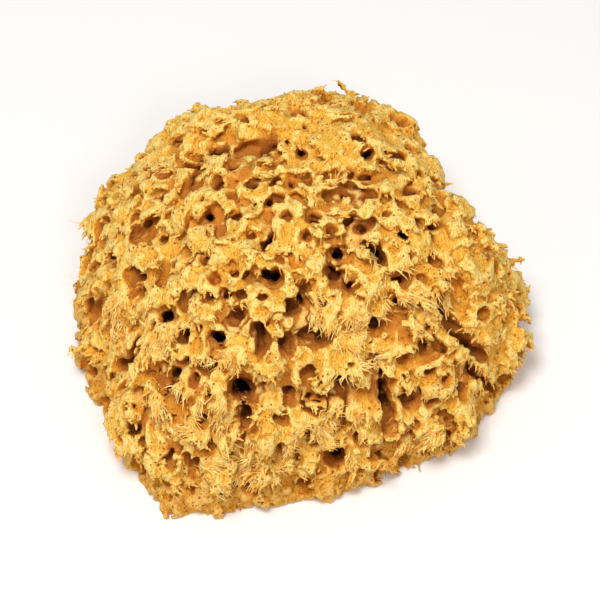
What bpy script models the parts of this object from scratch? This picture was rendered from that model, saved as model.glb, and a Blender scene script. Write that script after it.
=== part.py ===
"""A natural bath sponge: a domed cushion of sponge riddled with round channels, cut flat underneath.

Metres, +Z up. The origin is the middle of the flat cut that the sponge rests on, and -Y is the front.
"""

import math
import random

import bmesh
import bpy
from mathutils import Vector
from mathutils.bvhtree import BVHTree

MM = 0.001

# The dome's driving sizes, in millimetres. The radii of the cut are every 15 degrees round from +X.
HEIGHT = 84
FOOTPRINT_RADII = (
    74.1, 60.6, 66.5, 65.2, 67.1, 72.5, 70.5, 66.1, 65.6, 81.5, 75.9, 78.5,
    75.8, 75.9, 74.9, 83.7, 86.4, 80.2, 69.9, 68.5, 68.7, 74.5, 72.2, 77.1,
)
SIDE_ROUNDNESS = 2.6
TOP_ROUNDNESS = 2.1
BELOW_CUT = 14
APEX_SHIFT = Vector((4, 3))

# The groove above the base slab, along the front
GROOVE_HEIGHT = 12
GROOVE_DEPTH = 2.6
GROOVE_WIDTH = 3.2

# Lumps, each size with how far apart they are and how high they stand, and how far beyond them the tips reach
LUMPS = ((34, 7.0), (12, 5.5))
TIP_REACH = 1.4

# Ledges: torn flaps of skin that stand at different heights, with steps between them
FLAP_SIZE = 6.5
FLAP_HEIGHT = 1.5
FLAP_DRIFT_SIZE = 4.5
FLAP_DRIFT = 2.2

# Hollows between the tufts: how far apart, how much of the sponge they take, how deep they go, and the band
# above the cut over which they begin
HOLLOW_SIZE = 10.5
HOLLOW_SHARE = 0.37
HOLLOW_DEPTH = 7
BASE_BAND = (10, 18)

# How far the channels stray from straight
PIT_WANDER_SIZE = 9
PIT_WANDER = 2.4

# The picture that the pits were measured in looks down at the front from this height and distance
VIEW_ELEVATION = math.radians(55)
VIEW_DISTANCE = 900

# Pits and channels measured in the picture: right and up of the middle of the base, radius, depth
DEEP_CHANNELS = (
    (-32, 39, 2.6, 40), (27, 26, 2.2, 36), (12.5, 26, 3.0, 44), (10.5, 20.5, 2.2, 40), (-12, 19, 2.8, 40),
    (-8.5, 18, 3.2, 42), (0.5, 10, 2.4, 34), (-29, -3, 3.4, 46), (-47, 5, 3.2, 36), (-20, -22, 5.0, 52),
    (16.5, 14, 2.0, 30), (36.5, 33, 2.0, 30), (23.5, 61, 2.2, 30), (0, 62, 2.2, 32), (-11.5, 43.5, 1.8, 28),
    (35, 8, 3.0, 36), (28.5, -22, 2.6, 38), (12, -44, 4.0, 40), (30, -27, 2.4, 34), (24.5, -12.5, 2.2, 30),
)
BROWN_PITS = (
    (-29.5, 64, 3.8, 18), (-57.5, 38, 2.4, 12), (-43, 67, 2.2, 9), (-28.5, 52, 2.6, 10), (-24, 58, 2.2, 9),
    (-50, 55, 2.8, 8), (-19, 73, 2.4, 10), (0, 76, 2.4, 9), (23, 75, 3.6, 12), (20, 66, 2.4, 12),
    (-17, 52, 2.4, 14), (-10, 52, 2.0, 12), (-3, 52, 2.2, 14), (-8, 46, 2.0, 14), (10.5, 54, 2.6, 14),
    (17, 49, 3.0, 12), (25, 46.5, 2.4, 14), (-23, 40, 2.2, 12), (5, 40, 2.4, 10), (17, 38.5, 2.4, 12),
    (23, 36.5, 2.2, 14), (2.5, 33, 1.8, 10), (25, 28.5, 2.4, 16), (36, 70, 2.2, 8), (39.5, 64, 2.0, 9),
    (42.5, 55, 2.4, 10), (40, 48.5, 2.4, 12), (50, 42, 2.8, 12), (48, 36, 2.4, 12), (59, 34, 2.8, 9),
    (-58, 19, 3.4, 14), (-57, 13, 2.4, 10), (-71, 22.5, 2.2, 9), (-51.5, 13.5, 2.4, 9), (-34, 25, 2.0, 12),
    (-32, 11.5, 2.2, 10), (-26.5, 12, 2.2, 16), (-41, 9, 2.6, 12), (-43, -2.5, 3.2, 16),
    (-22, 3.5, 3.0, 12), (-67, -1.5, 2.2, 9), (-57, -4.5, 2.2, 10), (-64, -13, 2.4, 10),
    (-47, -17.5, 3.4, 16), (-33.5, -14, 3.4, 12), (-38, -19, 2.2, 10), (-54, -22.5, 2.4, 14),
    (-21, 11.5, 2.2, 9), (-2, 8, 3.4, 14), (2.5, 14.5, 2.6, 12), (13, 18.5, 3.2, 16), (29, 24, 2.2, 16),
    (36, 17.5, 2.6, 18), (48, 23.5, 2.6, 10), (9, -0.5, 2.6, 16), (-4, -6, 3.0, 14), (-14, -3, 2.8, 12),
    (6, -4, 3.0, 10), (28, 1, 3.8, 22), (3, -15, 2.8, 12), (15, -21, 3.4, 14), (44, -8, 3.2, 12),
    (36.5, -10.5, 3.0, 18), (46.5, -15, 2.2, 14), (31, -19.5, 2.8, 14), (75, -6.5, 3.2, 8),
    (62.5, 5.5, 2.4, 8), (72, -17, 2.4, 8), (-57, -33.5, 2.4, 12), (-35, -32, 2.2, 12), (-43, -24, 2.6, 10),
    (-32, -42.5, 2.4, 12), (-51, -50, 2.6, 12), (-46, -46, 2.6, 10), (-38.5, -57, 1.8, 8),
    (-24, -57, 3.2, 12), (-18, -58, 3.2, 12), (-18, -34, 2.6, 16), (-20.5, -40.5, 2.4, 12),
    (-6.5, -31, 2.6, 12), (-2, -24, 3.0, 12), (4.5, -27, 2.6, 12), (4.5, -39.5, 2.2, 18),
    (-5.5, -50.5, 2.2, 12), (1, -55.5, 2.8, 12), (21, -38.5, 1.8, 10), (29, -46.5, 2.2, 10),
    (32, -34, 2.2, 18), (31, -40.5, 3.0, 14), (38.5, -26.5, 3.4, 12), (45.5, -26, 2.4, 14),
    (50, -30.5, 2.0, 10), (44.5, -40, 2.6, 10), (52, -39, 3.0, 10), (63, -22, 2.8, 10), (68, -27, 2.4, 8),
    (57, -22.5, 2.4, 12), (43.5, -44.5, 1.8, 12), (36.5, -48, 2.4, 8), (27, -51.5, 2.2, 10),
)

# Clefts measured in the same picture, each a line of points: right, up, radius, depth
CLEFTS = (
    ((52, 18, 2.0, 14), (50, 10, 2.4, 18), (54, 2, 2.2, 20), (57, -4, 2.4, 20), (65, -10, 2.0, 14)),
    ((60, -14, 1.8, 14), (65, -19, 1.8, 14), (68, -22, 1.8, 12)),
    ((-36, 56, 2.4, 9), (-41, 49, 2.2, 9)),
    ((-13, 29, 1.4, 24), (-10, 34, 1.4, 20)),
    ((-8.5, 67.5, 1.8, 12), (-12.5, 65, 1.8, 12)),
    ((-14, 0, 2.4, 14), (-14, -7, 2.4, 12)),
    ((2, -3, 2.2, 12), (9, -4, 2.2, 14)),
    ((30, -24, 1.8, 26), (32, -32, 2.0, 24)),
    ((-20, -30, 2.4, 20), (-19, -36, 2.4, 16)),
)

# Channels with no place in the picture, round the back and sides and through the cut underside
PIT_SPACING = 12
PIT_RADII = (2.3, 3.9)
PIT_DEPTHS = (8, 16)
PIT_TRIES = 2600
BASE_PIT_SPACING = 14
BASE_PIT_TRIES = 500
BASE_PIT_EDGE = 58
BASE_MIDDLE = 9
SEED = 7

# A channel's run: points from outside the skin inwards, a wide mouth, a narrower throat, its end above the cut
POINT_STEP = 1.2
ABOVE_SURFACE = 9
SURFACE_POINT = round(ABOVE_SURFACE / POINT_STEP)
MOUTH_WIDTH = 1.15
THROAT_START = 3
THROAT_LENGTH = 6
THROAT_NARROWING = 0.4
END_NARROWING = 0.2
CHANNEL_FLOOR = 7
SHORTEST_CHANNEL = 6
STEEPEST_LEVEL = -0.1
LOWEST_MOUTH = 5

# How much each kind of measured channel runs along the line of sight rather than straight in
DEEP_ALONG_SIGHT = 0.85
BROWN_ALONG_SIGHT = 0.3
CLEFT_ALONG_SIGHT = 0.4

# The mesh: the guide's rings, the grid that the surface is found on with the block that it fills, the least
# share of the faces that the body has, the triangles, and how near the cut a point is put on it
GUIDE_SEGMENTS = 64
VOXEL = 1.6
BLOCK_LOW = Vector((-100, -100, -10))
BLOCK_HIGH = Vector((100, 100, 100))
SOFT_VOXELS = 4
MAIN_SHARE = 0.5
TRIANGLES = 9400
CUT_SNAP = 0.5

SPONGE_YELLOW = (0.86, 0.56, 0.16, 1)


def clear_scene():
    for obj in list(bpy.data.objects):
        bpy.data.objects.remove(obj)


def new_collection(name):
    collection = bpy.data.collections.new(name)
    bpy.context.scene.collection.children.link(collection)
    return collection


def sponge_material():
    material = bpy.data.materials.new("sponge_yellow")
    material.use_nodes = True
    shader = material.node_tree.nodes["Principled BSDF"]
    shader.inputs["Base Color"].default_value = SPONGE_YELLOW
    shader.inputs["Roughness"].default_value = 0.95
    shader.inputs["Metallic"].default_value = 0
    return material


def footprint_radius(angle):
    """The radius of the base at this angle from +X, eased between the measured radii."""
    count = len(FOOTPRINT_RADII)
    place = (angle / math.tau * count) % count
    before = int(place)
    ease = (1 - math.cos((place - before) * math.pi)) / 2
    first, second = FOOTPRINT_RADII[before], FOOTPRINT_RADII[(before + 1) % count]
    return first + (second - first) * ease


def smooth_dome(collection):
    """The sponge with its lumps and pits left out. It goes on below the cut, and only guides the shape."""
    form = bmesh.new()
    bmesh.ops.create_uvsphere(form, u_segments=GUIDE_SEGMENTS, v_segments=GUIDE_SEGMENTS // 2, radius=1)
    for vertex in form.verts:
        rise = max(-1, min(1, vertex.co.z))
        reach = math.sqrt(1 - rise * rise) ** (2 / SIDE_ROUNDNESS)
        height = abs(rise) ** (2 / TOP_ROUNDNESS)
        radius = footprint_radius(math.atan2(vertex.co.y, vertex.co.x)) * reach
        flat = Vector((vertex.co.x, vertex.co.y))
        place = flat.normalized() * radius
        if rise > 0:
            place += APEX_SHIFT * height
        z = height * HEIGHT if rise > 0 else -height * BELOW_CUT
        vertex.co = Vector((place.x, place.y, z)) * MM
    mesh = bpy.data.meshes.new("smooth_dome")
    form.to_mesh(mesh)
    form.free()
    mesh.shade_smooth()
    dome = bpy.data.objects.new("smooth_dome", mesh)
    dome.hide_render = True
    dome.display_type = "WIRE"
    collection.objects.link(dome)
    return dome


def surface_under(tree, right, up):
    """Where the line of sight through this place in the picture meets the dome, with the normal and the line."""
    back = Vector((0, -math.cos(VIEW_ELEVATION), math.sin(VIEW_ELEVATION)))
    across = Vector((1, 0, 0))
    upward = back.cross(across)
    eye = back * VIEW_DISTANCE * MM
    sight = (across * right + upward * up) * MM - eye
    sight.normalize()
    place, normal, _, _ = tree.ray_cast(eye, sight)
    return place, normal, sight


def channel(place, inward, radius, depth, outward):
    """Points down a channel's middle with its radius at each: a wide mouth, a long throat and a rounded end."""
    points = []
    if inward.z < STEEPEST_LEVEL:
        depth = min(depth, max(SHORTEST_CHANNEL, (place.z / MM - CHANNEL_FLOOR) / -inward.z))
    steps = max(2, round((depth + ABOVE_SURFACE) / POINT_STEP))
    for step in range(steps + 1):
        down = -ABOVE_SURFACE + (depth + ABOVE_SURFACE) * step / steps
        share = max(0, down / depth)
        throat = min(1, max(0, (down - THROAT_START) / THROAT_LENGTH))
        width = radius * (MOUTH_WIDTH - THROAT_NARROWING * throat - END_NARROWING * share * share)
        direction = outward * -1 if down < 0 else inward
        points.append((place + direction * down * MM, width * MM))
    return points


def measured_channels(tree):
    """The pits and clefts measured in the picture. The deep ones run along the line of sight."""
    strings = []
    for pits, along_sight in ((DEEP_CHANNELS, DEEP_ALONG_SIGHT), (BROWN_PITS, BROWN_ALONG_SIGHT)):
        for right, up, radius, depth in pits:
            place, normal, sight = surface_under(tree, right, up)
            if place is None:
                continue
            inward = (sight * along_sight - normal * (1 - along_sight)).normalized()
            strings.append(channel(place, inward, radius, depth, -inward))
    for cleft in CLEFTS:
        for first, second in zip(cleft, cleft[1:]):
            strings += cleft_channels(tree, first, second)
    return strings


def cleft_channels(tree, first, second):
    """Channels side by side between two measured places, close enough to run together."""
    length = math.hypot(second[0] - first[0], second[1] - first[1])
    count = max(1, math.ceil(length / POINT_STEP))
    made = []
    for step in range(count + 1):
        right, up, radius, depth = (a + (b - a) * step / count for a, b in zip(first, second))
        place, normal, sight = surface_under(tree, right, up)
        if place is not None:
            inward = (sight * CLEFT_ALONG_SIGHT - normal * (1 - CLEFT_ALONG_SIGHT)).normalized()
            made.append(channel(place, inward, radius, depth, -inward))
    return made


def scattered_channels(tree, taken):
    """Channels on the rest of the dome, no closer together than their spacing."""
    dice = random.Random(SEED)
    mouths = list(taken)
    made = []
    for _ in range(PIT_TRIES):
        turn = dice.uniform(0, math.tau)
        slope = math.asin(dice.uniform(0, 1))
        aim = Vector((math.cos(turn) * math.cos(slope), math.sin(turn) * math.cos(slope), math.sin(slope)))
        place, normal, _, _ = tree.ray_cast(aim, -aim)
        radius = dice.uniform(*PIT_RADII)
        depth = dice.uniform(*PIT_DEPTHS)
        if place is None or place.z < LOWEST_MOUTH * MM:
            continue
        if any((place - mouth).length < PIT_SPACING * MM for mouth in mouths):
            continue
        mouths.append(place)
        made.append(channel(place, -normal, radius, depth, normal))
    return made


def base_channels():
    """Channels that open through the flat cut, away from its middle."""
    dice = random.Random(SEED + 1)
    mouths = []
    made = []
    for _ in range(BASE_PIT_TRIES):
        turn = dice.uniform(0, math.tau)
        away = BASE_PIT_EDGE * math.sqrt(dice.uniform(0, 1))
        place = Vector((away * math.cos(turn), away * math.sin(turn), 0)) * MM
        if away < BASE_MIDDLE:
            continue
        if any((place - mouth).length < BASE_PIT_SPACING * MM for mouth in mouths):
            continue
        mouths.append(place)
        up = Vector((0, 0, 1))
        made.append(channel(place, up, dice.uniform(*PIT_RADII), dice.uniform(*PIT_DEPTHS), -up))
    return made


def channel_points(collection, strings):
    """Every channel's points in one mesh, each with the channel's radius there."""
    points = [point for string in strings for point in string]
    mesh = bpy.data.meshes.new("channels")
    mesh.vertices.add(len(points))
    mesh.vertices.foreach_set("co", [value for place, _ in points for value in place])
    mesh.attributes.new("radius", "FLOAT", "POINT").data.foreach_set("value", [radius for _, radius in points])
    channels = bpy.data.objects.new("channels", mesh)
    channels.hide_render = True
    channels.display_type = "WIRE"
    collection.objects.link(channels)
    return channels


class Field:
    """Adds nodes to a geometry node tree. Each call returns the new node's output."""

    def __init__(self, tree):
        self.tree = tree

    def node(self, kind, settings=None, output=0, **inputs):
        made = self.tree.nodes.new(kind)
        for name, value in (settings or {}).items():
            setattr(made, name, value)
        for name, value in inputs.items():
            key = int(name[1:]) if name[0] == "i" and name[1:].isdigit() else name.replace("_", " ")
            socket = made.inputs[key]
            if isinstance(value, bpy.types.NodeSocket):
                self.tree.links.new(value, socket)
            else:
                socket.default_value = value
        return made.outputs[output]

    def math(self, operation, first, second=0.0):
        return self.node("ShaderNodeMath", {"operation": operation}, i0=first, i1=second)

    def vector(self, operation, first, second, output="Vector"):
        return self.node("ShaderNodeVectorMath", {"operation": operation}, output, i0=first, i1=second)

    def noise(self, place, size, output="Factor", detail=1.0):
        key = 0 if output == "Factor" else 1
        return self.node("ShaderNodeTexNoise", {}, key, Vector=place, Scale=1 / (size * MM), Detail=detail)


def sponge_tree(dome, channels):
    """Fills the dome with sponge: a solid with lumps on it, less the channels, as one closed surface."""
    tree = bpy.data.node_groups.new("sponge_body", "GeometryNodeTree")
    tree.interface.new_socket("Voxel", in_out="INPUT", socket_type="NodeSocketFloat")
    tree.interface.new_socket("Geometry", in_out="OUTPUT", socket_type="NodeSocketGeometry")
    field = Field(tree)
    inputs = tree.nodes.new("NodeGroupInput")
    place = field.node("GeometryNodeInputPosition")

    shape = field.node("GeometryNodeObjectInfo", output="Geometry", i0=dome)
    nearest = tree.nodes.new("GeometryNodeProximity")
    tree.links.new(shape, nearest.inputs[0])
    facing = field.node(
        "GeometryNodeSampleNearestSurface",
        {"data_type": "FLOAT_VECTOR"},
        Mesh=shape,
        Value=field.node("GeometryNodeInputNormal"),
    )
    outward = field.vector("SUBTRACT", place, nearest.outputs["Position"])
    side = field.math("SIGN", field.vector("DOT_PRODUCT", outward, facing, "Value"))
    skin = field.math("MULTIPLY", nearest.outputs["Distance"], side)

    for size, height in LUMPS:
        lump = field.math("SUBTRACT", field.noise(place, size), 0.5)
        skin = field.math("SUBTRACT", skin, field.math("MULTIPLY", lump, height * 2 * MM))

    height_here = field.node("ShaderNodeSeparateXYZ", output="Z", Vector=place)
    off_groove = field.math("SUBTRACT", height_here, GROOVE_HEIGHT * MM)
    off_groove = field.math("DIVIDE", off_groove, GROOVE_WIDTH * MM)
    off_squared = field.math("MULTIPLY", off_groove, off_groove)
    groove = field.math("EXPONENT", field.math("MULTIPLY", off_squared, -1.0))
    envelope = field.math("ADD", skin, field.math("MULTIPLY", groove, GROOVE_DEPTH * MM))

    flaps = tree.nodes.new("ShaderNodeTexVoronoi")
    drift = field.vector("SUBTRACT", field.noise(place, FLAP_DRIFT_SIZE, "Color"), (0.5, 0.5, 0.5))
    drift = field.vector("MULTIPLY", drift, (FLAP_DRIFT * 2 * MM,) * 3)
    tree.links.new(field.vector("ADD", place, drift), flaps.inputs["Vector"])
    flaps.inputs["Scale"].default_value = 1 / (FLAP_SIZE * MM)
    ledge = field.math("SUBTRACT", field.node("ShaderNodeSeparateXYZ", Vector=flaps.outputs["Color"]), 0.5)
    skin = field.math("SUBTRACT", envelope, field.math("MULTIPLY", ledge, FLAP_HEIGHT * 2 * MM))
    skin = field.math("SUBTRACT", skin, TIP_REACH * MM)

    wander = field.vector("SUBTRACT", field.noise(place, PIT_WANDER_SIZE, "Color"), (0.5, 0.5, 0.5))
    wander = field.vector("MULTIPLY", wander, (PIT_WANDER * 2 * MM,) * 3)
    strayed = field.vector("ADD", place, wander)
    strings = field.node("GeometryNodeObjectInfo", output="Geometry", i0=channels)
    middle = field.node(
        "GeometryNodeProximity", {"target_element": "POINTS"}, "Distance", i0=strings, Source_Position=strayed
    )
    index = field.node("GeometryNodeSampleNearest", {"domain": "POINT"}, i0=strings, Sample_Position=strayed)
    radius = field.node(
        "GeometryNodeSampleIndex",
        {"data_type": "FLOAT", "domain": "POINT"},
        i0=strings,
        Value=field.node("GeometryNodeInputNamedAttribute", {"data_type": "FLOAT"}, Name="radius"),
        Index=index,
    )
    bored = field.math("SUBTRACT", radius, middle)
    solid = field.math("MAXIMUM", skin, bored)

    hollow = field.math("SUBTRACT", HOLLOW_SHARE, field.noise(place, HOLLOW_SIZE))
    hollow = field.math("MULTIPLY", hollow, HOLLOW_SIZE * MM)
    hollow = field.math("MINIMUM", hollow, field.math("ADD", envelope, HOLLOW_DEPTH * MM))
    above_band = field.node(
        "ShaderNodeMapRange",
        {"interpolation_type": "SMOOTHSTEP"},
        Value=height_here,
        From_Min=BASE_BAND[0] * MM,
        From_Max=BASE_BAND[1] * MM,
        To_Min=-HOLLOW_DEPTH * MM,
        To_Max=0.0,
    )
    solid = field.math("MAXIMUM", solid, field.math("ADD", hollow, above_band))
    solid = field.math("MAXIMUM", solid, field.math("MULTIPLY", height_here, -1.0))

    voxel = inputs.outputs["Voxel"]
    low = BLOCK_LOW * MM
    high = BLOCK_HIGH * MM
    cells = [field.math("DIVIDE", high[axis] - low[axis], voxel) for axis in range(3)]
    softness = field.math("MULTIPLY", voxel, SOFT_VOXELS)
    density = field.math("SUBTRACT", 0.5, field.math("DIVIDE", solid, softness))
    density = field.node("ShaderNodeClamp", Value=density)
    block = tree.nodes.new("GeometryNodeVolumeCube")
    tree.links.new(density, block.inputs["Density"])
    block.inputs["Min"].default_value = low
    block.inputs["Max"].default_value = high
    for axis, count in zip("XYZ", cells):
        tree.links.new(count, block.inputs["Resolution " + axis])
    surface = field.node(
        "GeometryNodeVolumeToMesh", {"resolution_mode": "GRID"}, Volume=block.outputs[0], Threshold=0.5
    )

    island = field.node("GeometryNodeInputMeshIsland")
    share = field.node(
        "GeometryNodeAccumulateField",
        {"data_type": "INT", "domain": "FACE"},
        "Total",
        Value=1,
        Group_Index=island,
    )
    faces = field.node("GeometryNodeAttributeDomainSize", {"component": "MESH"}, "Face Count", i0=surface)
    stray = field.node(
        "FunctionNodeCompare",
        {"data_type": "FLOAT", "operation": "LESS_THAN"},
        A=share,
        B=field.math("MULTIPLY", faces, MAIN_SHARE),
    )
    kept = field.node("GeometryNodeDeleteGeometry", {"domain": "FACE"}, i0=surface, Selection=stray)
    triangles = field.node("GeometryNodeTriangulate", i0=kept)
    tree.links.new(triangles, tree.nodes.new("NodeGroupOutput").inputs[0])
    return tree


def flatten_tree():
    """Puts the points next to the cut exactly on it, so that the sponge has one flat face to rest on."""
    tree = bpy.data.node_groups.new("flat_underside", "GeometryNodeTree")
    tree.interface.new_socket("Geometry", in_out="INPUT", socket_type="NodeSocketGeometry")
    tree.interface.new_socket("Geometry", in_out="OUTPUT", socket_type="NodeSocketGeometry")
    field = Field(tree)
    split = tree.nodes.new("ShaderNodeSeparateXYZ")
    tree.links.new(field.node("GeometryNodeInputPosition"), split.inputs[0])
    near = field.math("LESS_THAN", split.outputs["Z"], CUT_SNAP * MM)
    level = field.node("ShaderNodeCombineXYZ", X=split.outputs["X"], Y=split.outputs["Y"])
    whole = tree.nodes.new("NodeGroupInput").outputs[0]
    flat = field.node("GeometryNodeSetPosition", Geometry=whole, Selection=near, Position=level)
    tree.links.new(flat, tree.nodes.new("NodeGroupOutput").inputs[0])
    return tree


def main():
    clear_scene()
    made = new_collection("sea_sponge")
    guides = new_collection("guides")
    dome = smooth_dome(guides)
    tree = BVHTree.FromPolygons([v.co for v in dome.data.vertices], [p.vertices for p in dome.data.polygons])
    strings = measured_channels(tree)
    taken = [string[SURFACE_POINT][0] for string in strings]
    strings += scattered_channels(tree, taken)
    strings += base_channels()
    channels = channel_points(guides, strings)

    sponge = bpy.data.objects.new("sponge", bpy.data.meshes.new("sponge"))
    made.objects.link(sponge)
    body = sponge.modifiers.new("body", "NODES")
    body.node_group = sponge_tree(dome, channels)
    voxel = body.node_group.interface.items_tree["Voxel"].identifier
    body[voxel] = VOXEL * MM
    bpy.context.view_layer.update()
    faces = len(sponge.evaluated_get(bpy.context.evaluated_depsgraph_get()).data.polygons)
    thin = sponge.modifiers.new("fewer_faces", "DECIMATE")
    thin.ratio = min(1, TRIANGLES / faces)
    sponge.modifiers.new("flat_underside", "NODES").node_group = flatten_tree()
    sponge.data.materials.append(sponge_material())


main()
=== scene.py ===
"""A dry natural bath sponge on a pale studio floor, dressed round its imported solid."""

import math
import random

import bmesh
import bpy
from mathutils import Matrix, Vector
from mathutils.bvhtree import BVHTree


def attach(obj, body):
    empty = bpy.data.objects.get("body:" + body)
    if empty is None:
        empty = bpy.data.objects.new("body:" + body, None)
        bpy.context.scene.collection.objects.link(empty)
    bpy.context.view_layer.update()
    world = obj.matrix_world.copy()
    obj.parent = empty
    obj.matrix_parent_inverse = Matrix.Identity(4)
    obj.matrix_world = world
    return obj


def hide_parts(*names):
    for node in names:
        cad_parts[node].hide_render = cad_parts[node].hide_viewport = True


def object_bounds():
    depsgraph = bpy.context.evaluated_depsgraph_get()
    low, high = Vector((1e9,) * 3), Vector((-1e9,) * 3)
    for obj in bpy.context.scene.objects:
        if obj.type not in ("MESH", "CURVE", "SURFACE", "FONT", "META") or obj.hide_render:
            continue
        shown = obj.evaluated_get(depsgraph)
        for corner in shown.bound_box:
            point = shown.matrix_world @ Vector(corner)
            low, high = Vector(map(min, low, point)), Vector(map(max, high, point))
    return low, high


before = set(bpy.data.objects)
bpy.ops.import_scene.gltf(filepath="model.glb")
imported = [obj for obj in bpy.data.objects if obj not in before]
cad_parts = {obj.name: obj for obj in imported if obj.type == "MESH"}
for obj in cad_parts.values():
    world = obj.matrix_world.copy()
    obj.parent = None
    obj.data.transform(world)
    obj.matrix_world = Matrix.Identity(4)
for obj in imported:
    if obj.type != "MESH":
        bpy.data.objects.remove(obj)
cad_low, cad_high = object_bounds()
MM = 0.001

# The camera. The photograph looks down at the sponge's front through a long lens. The middle of the sponge's
# base lies a little below the middle of the picture.
VIEW_ELEVATION = math.radians(55)
VIEW_DISTANCE = 900 * MM
PICTURE_PIXELS = 600
PIXELS_PER_MM = 2.875
PIXELS_BELOW_MIDDLE = 28
PICTURE_WIDTH = PICTURE_PIXELS / PIXELS_PER_MM * MM
BASE_BELOW_MIDDLE = PIXELS_BELOW_MIDDLE / PIXELS_PER_MM * MM
SENSOR_WIDTH = 36

across = Vector((1, 0, 0))
back = Vector((0, -math.cos(VIEW_ELEVATION), math.sin(VIEW_ELEVATION)))
upward = back.cross(across)
eye = back * VIEW_DISTANCE + upward * BASE_BELOW_MIDDLE

lens = bpy.data.cameras.new("camera")
lens.sensor_width = SENSOR_WIDTH
lens.lens = SENSOR_WIDTH * VIEW_DISTANCE / PICTURE_WIDTH
camera = bpy.data.objects.new("camera", lens)
bpy.context.scene.collection.objects.link(camera)
camera.matrix_world = Matrix.Translation(eye) @ Matrix((across, upward, back)).transposed().to_4x4()
bpy.context.scene.camera = camera

# The sponge's form. It grew as a low dome, and was cut flat off its rock. This smooth guide is the skin that
# its lumps stand on and its channels open through. Sizes are in millimetres.
HEIGHT = 84
FOOTPRINT_RADII = (
    74.1, 60.6, 66.5, 65.2, 67.1, 72.5, 70.5, 66.1, 65.6, 81.5, 75.9, 78.5,
    75.8, 75.9, 74.9, 83.7, 86.4, 80.2, 69.9, 68.5, 68.7, 74.5, 72.2, 77.1,
)
SIDE_ROUNDNESS = 2.6
TOP_ROUNDNESS = 2.1
BELOW_CUT = 14
APEX_SHIFT = Vector((4, 3))
GUIDE_SEGMENTS = 64


def footprint_radius(angle):
    """The radius of the base at this angle from +X, eased between the measured radii."""
    count = len(FOOTPRINT_RADII)
    place = (angle / math.tau * count) % count
    before = int(place)
    ease = (1 - math.cos((place - before) * math.pi)) / 2
    first, second = FOOTPRINT_RADII[before], FOOTPRINT_RADII[(before + 1) % count]
    return first + (second - first) * ease


form = bmesh.new()
bmesh.ops.create_uvsphere(form, u_segments=GUIDE_SEGMENTS, v_segments=GUIDE_SEGMENTS // 2, radius=1)
for vertex in form.verts:
    rise = max(-1, min(1, vertex.co.z))
    reach = math.sqrt(1 - rise * rise) ** (2 / SIDE_ROUNDNESS)
    height = abs(rise) ** (2 / TOP_ROUNDNESS)
    radius = footprint_radius(math.atan2(vertex.co.y, vertex.co.x)) * reach
    flat = Vector((vertex.co.x, vertex.co.y))
    place = flat.normalized() * radius
    if rise > 0:
        place += APEX_SHIFT * height
    z = height * HEIGHT if rise > 0 else -height * BELOW_CUT
    vertex.co = Vector((place.x, place.y, z)) * MM
dome_mesh = bpy.data.meshes.new("smooth_dome")
form.to_mesh(dome_mesh)
form.free()
dome_mesh.shade_smooth()
dome = bpy.data.objects.new("smooth_dome", dome_mesh)
bpy.context.scene.collection.objects.link(dome)
dome.hide_render = True
dome_tree = BVHTree.FromPolygons([v.co for v in dome_mesh.vertices], [p.vertices for p in dome_mesh.polygons])

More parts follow.
